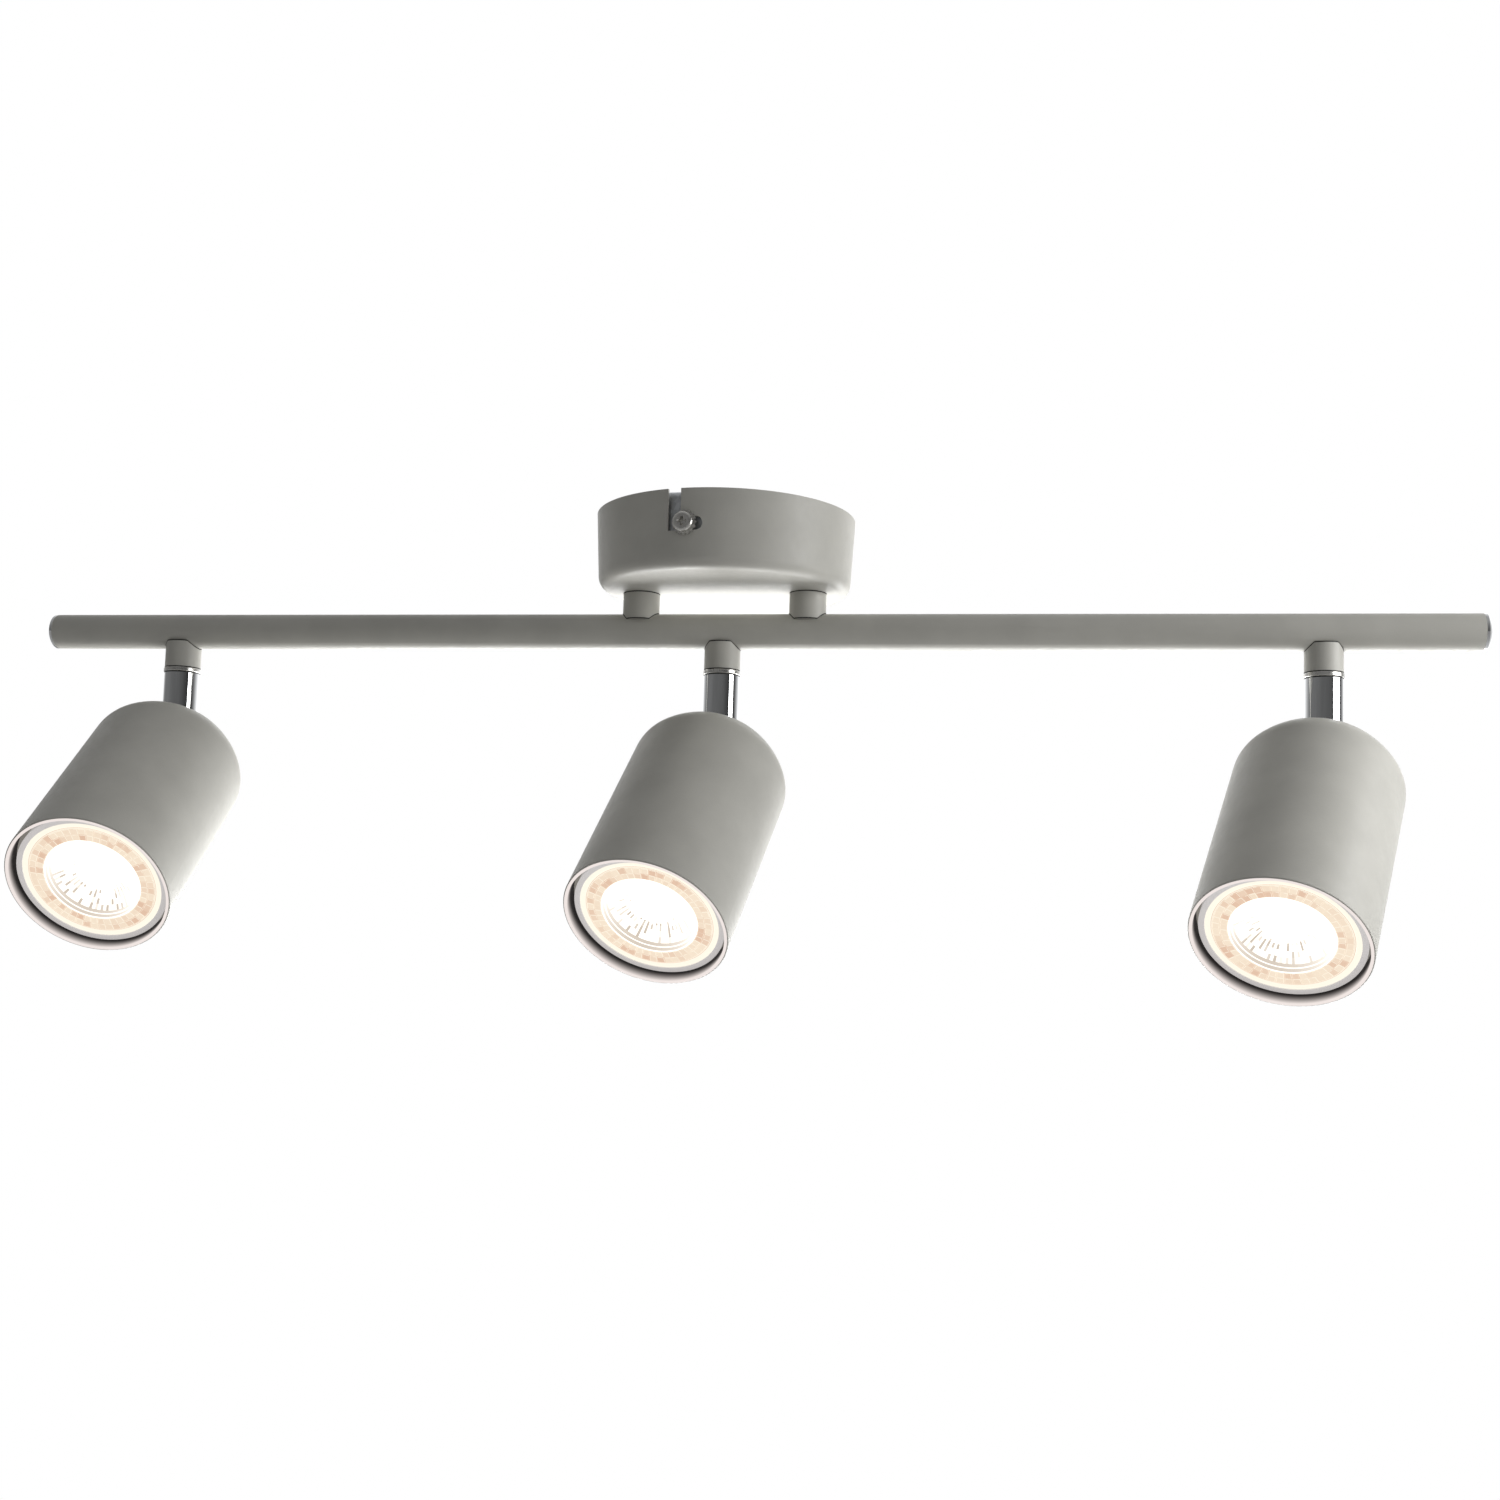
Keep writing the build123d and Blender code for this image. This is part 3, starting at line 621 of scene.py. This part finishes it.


# ---------------------------------------------------------------- joint lines of painted shade
def saddle_line(name, x, radius, end, side, lines):
    """Thin dark line of painted shade round a coated tube where its end laps over the bar."""
    bar_low, bar_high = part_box("bar_tube")
    bar_radius = (bar_high.z - bar_low.z) / 2
    bar_axis = (bar_high.z + bar_low.z) / 2
    flat = side * (end - bar_axis)
    bpy.ops.mesh.primitive_circle_add(vertices=LINE_SEGMENTS, radius=radius + lines.proud,
                                      location=(x, 0, 0))
    piece = start_piece(name)
    apply_in_edit(piece)
    mesh = bmesh.from_edit_mesh(piece.data)
    for vertex in mesh.verts:
        bar_rise = sqrt(max(0.0, bar_radius ** 2 - vertex.co.y ** 2))
        vertex.co.z = bar_axis + side * max(bar_rise, flat)
    bmesh.update_edit_mesh(piece.data)
    bpy.ops.mesh.select_mode(type="EDGE")
    bpy.ops.mesh.select_all(action="SELECT")
    bpy.ops.mesh.extrude_region_move(TRANSFORM_OT_translate={"value": (0, 0, side * lines.height)})
    return close_line(piece, lines)


def collar_line(name, x, radius, z, lines):
    """Thin dark line of painted shade round a coated tube under the canopy."""
    bpy.ops.mesh.primitive_circle_add(vertices=COLLAR_SEGMENTS, radius=radius + lines.proud,
                                      location=(x, 0, z))
    piece = start_piece(name)
    apply_in_edit(piece)
    bpy.ops.mesh.select_mode(type="EDGE")
    bpy.ops.mesh.select_all(action="SELECT")
    bpy.ops.mesh.extrude_region_move(TRANSFORM_OT_translate={"value": (0, 0, -lines.height)})
    return close_line(piece, lines)


def close_line(piece, lines):
    """Points the band outwards and gives it its wall."""
    bpy.ops.mesh.select_all(action="SELECT")
    bpy.ops.mesh.normals_make_consistent(inside=False)
    bpy.ops.object.mode_set(mode="OBJECT")
    use_modifier(piece, "SOLIDIFY", thickness=4 * lines.proud, offset=-1.0)
    bpy.ops.object.shade_smooth_by_angle(angle=radians(40))
    return piece


# ---------------------------------------------------------------- sizes and colours
class FixtureFinish(bpy.types.PropertyGroup):
    coat_colour: FloatVectorProperty(name="Coat colour", description="Warm light grey of the powder coat",
                                     default=(0.500, 0.492, 0.452), subtype="COLOR", min=0, max=1)
    coat_grain: FloatProperty(name="Coat grain", description="Size of the fine texture in the coat",
                              default=0.5 * MM, unit="LENGTH")
    chrome_colour: FloatVectorProperty(name="Chrome", description="Tint of the chrome plate",
                                       default=(0.78, 0.79, 0.80), subtype="COLOR", min=0, max=1)
    nickel_colour: FloatVectorProperty(name="Nickel", description="Tint of the satin nickel",
                                       default=(0.70, 0.69, 0.66), subtype="COLOR", min=0, max=1)
    zinc_colour: FloatVectorProperty(name="Zinc", description="Tint of the zinc plate",
                                     default=(0.62, 0.64, 0.66), subtype="COLOR", min=0, max=1)
    brass_colour: FloatVectorProperty(name="Brass", description="Tint of the terminal and earth screws",
                                      default=(0.76, 0.58, 0.30), subtype="COLOR", min=0, max=1)
    bezel_colour: FloatVectorProperty(name="Lamp bezel", description="Lacquer on the lamp housing",
                                      default=(0.56, 0.545, 0.54), subtype="COLOR", min=0, max=1)
    # Painted light on the lamp housing, standing for the lamp's spill onto the bezel
    bezel_painted_glow: FloatVectorProperty(name="Bezel glow", description="Lamp light that leaks past the lens",
                                    default=(0.36, 0.345, 0.34), subtype="COLOR", min=0, max=1)
    # Near black: painted shade deep inside a head's mouth, not the coat's own colour
    mouth_shade_colour: FloatVectorProperty(name="Head mouth", description="Coat just inside a head's edge",
                                      default=(0.03, 0.026, 0.025), subtype="COLOR", min=0, max=1)
    glow_colour: FloatVectorProperty(name="Warm glow", description="Colour of the lamp's light",
                                     default=(1.0, 0.90, 0.74), subtype="COLOR", min=0, max=1)


class LampOptics(bpy.types.PropertyGroup):
    core_light: FloatVectorProperty(name="Core", description="Light from the middle of the lamp",
                                    default=(1.6, 1.55, 1.45), subtype="COLOR", min=0, soft_max=2)
    cover_light: FloatVectorProperty(name="Cover ring", description="Light from the clear outer ring",
                                     default=(1.0, 0.94, 0.80), subtype="COLOR", min=0, soft_max=2)
    prism_light: FloatVectorProperty(name="Prisms", description="Light from a bright prism",
                                     default=(0.89, 0.75, 0.59), subtype="COLOR", min=0, soft_max=2)
    prism_shade: FloatVectorProperty(name="Prism shade", description="Light from a dark prism",
                                     default=(0.74, 0.51, 0.37), subtype="COLOR", min=0, soft_max=2)
    bar_light: FloatVectorProperty(name="Dish bars", description="Light from the dish's small bars",
                                    default=(0.62, 0.54, 0.46), subtype="COLOR", min=0, soft_max=2)
    hot_angle: FloatProperty(name="Hot side", description="Direction on the lens of the strongest light",
                             default=radians(62), subtype="ANGLE")


# Sizes of the sheet that carries painted shade and painted lamp light inside each head's mouth
class MouthShadingSheets(bpy.types.PropertyGroup):
    gap: FloatProperty(name="Gap", description="Space between a liner and the head's bore",
                       default=0.14 * MM, unit="LENGTH")
    edge_gap: FloatProperty(name="Edge gap", description="Space between the lip and the head's edge",
                            default=0.02 * MM, unit="LENGTH")
    wall: FloatProperty(name="Wall", description="Thickness of a liner", default=0.1 * MM, unit="LENGTH")
    lip: FloatProperty(name="Lip", description="Width of the lip on the head's edge",
                       default=0.8 * MM, unit="LENGTH")
    depth: FloatProperty(name="Depth", description="Length of a liner", default=7.0 * MM, unit="LENGTH")
    steps: IntProperty(name="Steps", description="Rings along a liner", default=14, min=1, max=32)
    reach: FloatProperty(name="Light reach", description="How deep the lamp light falls on the liner",
                         default=3.8 * MM, unit="LENGTH")
    falloff: FloatProperty(name="Light falloff", description="How fast the light fades", default=2.0)
    light: FloatVectorProperty(name="Light", description="Lamp light on the liner's edge",
                               default=(0.86, 0.78, 0.75), subtype="COLOR", min=0, max=1)


# Size of the dark lines of painted shade at the joints
class JointShadeLines(bpy.types.PropertyGroup):
    height: FloatProperty(name="Line height", description="Height of the dark line at a joint",
                          default=0.38 * MM, unit="LENGTH")
    proud: FloatProperty(name="Proud", description="How far the line stands outside the coat",
                         default=0.035 * MM, unit="LENGTH")


class Studio(bpy.types.PropertyGroup):
    floor_height: FloatProperty(name="Floor", description="Height of the studio floor",
                                default=-0.60, unit="LENGTH")
    key_power: FloatProperty(name="Key light", description="Power of the soft light on the right",
                             default=1.85, unit="POWER")
    under_power: FloatProperty(name="Under light", description="Power of each light behind and below",
                               default=4.6, unit="POWER")
    room_levels: FloatVectorProperty(name="Room", size=6, min=0,
                                     description="Brightness right, left, back, front, above and below",
                                     default=(0.0, 0.18, 1.6, 0.12, 0.42, 0.3))
    camera_place: FloatVectorProperty(name="Camera", description="Place of the camera",
                                      default=(0.11113, -0.58099, -0.14625),
                                      subtype="TRANSLATION", unit="LENGTH")
    heading: FloatProperty(name="Heading", description="Camera turned to the left", default=radians(9.252),
                           subtype="ANGLE")
    climb: FloatProperty(name="Climb", description="Camera tipped up", default=radians(4.764),
                         subtype="ANGLE")
    roll: FloatProperty(name="Roll", description="Camera rolled", default=radians(-1.7015), subtype="ANGLE")
    lens: FloatProperty(name="Lens", description="Focal length in millimetres on a 36 mm sensor",
                        default=40.519)
    shift: FloatVectorProperty(name="Shift", description="Lens shift, as shares of the picture's width",
                               size=2, default=(-0.00954, 0.02918))


# ---------------------------------------------------------------- operators
class FIXTURE_OT_finishes(bpy.types.Operator):
    """Give every part of the fixture its finish"""
    bl_idname = "fixture.finishes"
    bl_label = "Finishes"

    def execute(self, context):
        FINISHES.update(all_finishes(context.scene.fixture_finish))
        for name, node in NODES.items():
            node.data.materials.clear()
            node.data.materials.append(FINISHES[SLOT_OF[name]])
        return {"FINISHED"}


class FIXTURE_OT_lamp_optics(bpy.types.Operator):
    """Model the moulded optic of each lamp in place of its plain lens"""
    bl_idname = "fixture.lamp_optics"
    bl_label = "Lamp optics"

    def execute(self, context):
        for number in SPOTS:
            bpy.ops.object.select_all(action="DESELECT")
            seat, radius, thickness = lens_seat(number)
            piece = lamp_optic(f"lamp_optic_{number}", radius, thickness)
            paint_light(piece, radius, context.scene.lamp_optics, number)
            apply_place(piece, seat)
            piece.data.materials.append(FINISHES["lamp_cover"])
            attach(piece, f"head_{number}")
            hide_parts(f"lamp_lens_{number}")
        return {"FINISHED"}


class FIXTURE_OT_mouth_shading_sheets(bpy.types.Operator):
    """Model the thin sheet of painted shade and painted lamp light inside the mouth of each head"""
    bl_idname = "fixture.head_liners"
    bl_label = "Head liners"

    def execute(self, context):
        for number in SPOTS:
            bpy.ops.object.select_all(action="DESELECT")
            piece = mouth_shading_sheet(f"head_liner_{number}", *head_bore(number), context.scene.head_liners)
            apply_place(piece, head_placement(number))
            piece.data.materials.append(FINISHES["head_mouth"])
            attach(piece, f"head_{number}")
        return {"FINISHED"}


class FIXTURE_OT_joint_lines(bpy.types.Operator):
    """Model the thin dark lines of painted shade where the coated tubes meet"""
    bl_idname = "fixture.joint_lines"
    bl_label = "Joint lines"

    def execute(self, context):
        lines = context.scene.joint_lines
        ring_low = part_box("friction_rings")[0].z
        made = []
        for node in ("post_left", "post_right"):
            x, radius, low, high = upright_reach(node)
            bpy.ops.object.select_all(action="DESELECT")
            made.append(saddle_line(f"{node}_saddle_line", x, radius, low, 1, lines))
            bpy.ops.object.select_all(action="DESELECT")
            made.append(collar_line(f"{node}_collar_line", x, radius, high, lines))
        for number in SPOTS:
            x, radius, ring_high, high = upright_reach(f"head_stub_{number}")
            bpy.ops.object.select_all(action="DESELECT")
            made.append(saddle_line(f"head_stub_{number}_saddle_line", x, radius, high, -1, lines))
            for end, z in (("upper", ring_high + lines.height), ("lower", ring_low)):
                bpy.ops.object.select_all(action="DESELECT")
                made.append(collar_line(f"friction_ring_{number}_{end}_line", x, radius, z, lines))
        for piece in made:
            piece.data.materials.append(FINISHES["joint_line"])
            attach(piece, "root")
        return {"FINISHED"}


KEY_SIZE = 0.3
KEY_PLACE = (0.55, -0.12, 0.0)
KEY_AIM = (0.1, 0, -0.08)
UNDER_SIZE = 0.45
UNDER_LIGHTS = {"under_light_left": -0.2, "under_light_right": 0.3}     # places along the bar
UNDER_BACK = 0.5                # how far they stand behind the bar
UNDER_HEIGHT = -0.42
UNDER_TURN = 0.7                # share of their own place along the bar that they aim at
BAR_LEVEL = -0.05


def studio_light(name, power, size, place, aim):
    """Square soft light that shines from a place towards a point."""
    bpy.ops.object.light_add(type="AREA", location=place)
    light = bpy.context.object
    light.name = name
    light.data.energy = power
    light.data.shape = "SQUARE"
    light.data.size = size
    light.rotation_euler = (Vector(aim) - Vector(place)).to_track_quat("-Z", "Y").to_euler()
    light.visible_camera = False


def pale_floor(height):
    bpy.ops.mesh.primitive_plane_add(size=FLOOR_SIZE, location=(0, 0, height))
    floor = bpy.context.object
    floor.name = "studio_floor"
    material = bpy.data.materials.new("studio_floor")
    material.use_nodes = True
    tree = material.node_tree
    tree.nodes.clear()
    nodes = tree.nodes
    output = nodes.new("ShaderNodeOutputMaterial")
    blend = nodes.new("ShaderNodeMixShader")
    paint = nodes.new("ShaderNodeBsdfDiffuse")
    paint.inputs["Color"].default_value = (FLOOR_PAINT, FLOOR_PAINT, FLOOR_PAINT, 1)
    glow = nodes.new("ShaderNodeEmission")
    seen = nodes.new("ShaderNodeLightPath")
    tree.links.new(seen.outputs["Is Camera Ray"], blend.inputs["Fac"])
    tree.links.new(paint.outputs["BSDF"], blend.inputs[1])
    tree.links.new(glow.outputs["Emission"], blend.inputs[2])
    tree.links.new(blend.outputs["Shader"], output.inputs["Surface"])
    floor.data.materials.append(material)


def studio_room(levels):
    """White to the eye; as light, its own brightness towards each of the six sides."""
    world = bpy.data.worlds.new("studio")
    bpy.context.scene.world = world
    world.use_nodes = True
    tree = world.node_tree
    tree.nodes.clear()

    def math(operation, *inputs):
        node = tree.nodes.new("ShaderNodeMath")
        node.operation = operation
        for socket, value in zip(node.inputs, inputs):
            if isinstance(value, float):
                socket.default_value = value
            else:
                tree.links.new(value, socket)
        return node.outputs["Value"]

    place = tree.nodes.new("ShaderNodeTexCoord")
    axes = tree.nodes.new("ShaderNodeSeparateXYZ")
    tree.links.new(place.outputs["Generated"], axes.inputs["Vector"])
    total = 0.0
    for axis, plus, minus in zip(axes.outputs, levels[::2], levels[1::2]):
        level = math("MULTIPLY_ADD", math("GREATER_THAN", axis, 0.0), plus - minus, minus)
        total = math("MULTIPLY_ADD", math("MULTIPLY", axis, axis), level, total)
    output = tree.nodes.new("ShaderNodeOutputWorld")
    blend = tree.nodes.new("ShaderNodeMixShader")
    white = tree.nodes.new("ShaderNodeBackground")
    room = tree.nodes.new("ShaderNodeBackground")
    seen = tree.nodes.new("ShaderNodeLightPath")
    for background in (white, room):
        background.inputs["Color"].default_value = (1, 1, 1, 1)
    tree.links.new(total, room.inputs["Strength"])
    tree.links.new(seen.outputs["Is Camera Ray"], blend.inputs["Fac"])
    tree.links.new(room.outputs["Background"], blend.inputs[1])
    tree.links.new(white.outputs["Background"], blend.inputs[2])
    tree.links.new(blend.outputs["Shader"], output.inputs["Surface"])


def studio_camera(studio):
    bpy.ops.object.camera_add()
    camera = bpy.context.object
    turn = (Matrix.Rotation(studio.heading, 4, "Z") @ Matrix.Rotation(studio.climb, 4, "X")
            @ Matrix.Rotation(studio.roll, 4, "Y") @ Matrix.Rotation(pi / 2, 4, "X"))
    camera.matrix_world = Matrix.Translation(studio.camera_place) @ turn
    camera.data.lens = studio.lens
    camera.data.sensor_width = SENSOR_WIDTH
    camera.data.shift_x, camera.data.shift_y = studio.shift
    camera.data.clip_start = NEAR_LIMIT
    bpy.context.scene.camera = camera


class FIXTURE_OT_stage(bpy.types.Operator):
    """Set the floor, the soft lights and the camera"""
    bl_idname = "fixture.stage"
    bl_label = "Stage"

    def execute(self, context):
        studio = context.scene.studio
        pale_floor(studio.floor_height)
        studio_room(list(studio.room_levels))
        studio_light("key_light", studio.key_power, KEY_SIZE, KEY_PLACE, KEY_AIM)
        for name, x in UNDER_LIGHTS.items():
            place = (x, UNDER_BACK, UNDER_HEIGHT)
            studio_light(name, studio.under_power, UNDER_SIZE, place, (UNDER_TURN * x, 0, BAR_LEVEL))
        studio_camera(studio)
        context.scene.view_settings.view_transform = "Standard"
        return {"FINISHED"}


class FIXTURE_PT_panel(bpy.types.Panel):
    """Lists the steps that dress the fixture"""
    bl_idname = "FIXTURE_PT_panel"
    bl_label = "Ceiling bar"
    bl_space_type = "VIEW_3D"
    bl_region_type = "UI"
    bl_category = "Ceiling bar"

    def draw(self, context):
        for step in STEPS:
            self.layout.operator(step.bl_idname)


GROUPS = {"fixture_finish": FixtureFinish, "lamp_optics": LampOptics,
          "head_liners": MouthShadingSheets, "joint_lines": JointShadeLines, "studio": Studio}
STEPS = (FIXTURE_OT_finishes, FIXTURE_OT_lamp_optics, FIXTURE_OT_mouth_shading_sheets,
         FIXTURE_OT_joint_lines, FIXTURE_OT_stage)


def register():
    for name, group in GROUPS.items():
        bpy.utils.register_class(group)
        setattr(bpy.types.Scene, name, PointerProperty(type=group))
    for step in STEPS:
        bpy.utils.register_class(step)
    bpy.utils.register_class(FIXTURE_PT_panel)


def unregister():
    bpy.utils.unregister_class(FIXTURE_PT_panel)
    for step in reversed(STEPS):
        bpy.utils.unregister_class(step)
    for name, group in GROUPS.items():
        delattr(bpy.types.Scene, name)
        bpy.utils.unregister_class(group)


def main():
    register()
    bpy.ops.object.select_all(action="DESELECT")
    bpy.ops.fixture.finishes()
    bpy.ops.fixture.lamp_optics()
    bpy.ops.fixture.head_liners()
    bpy.ops.fixture.joint_lines()
    bpy.ops.fixture.stage()


if __name__ == "__main__":
    main()
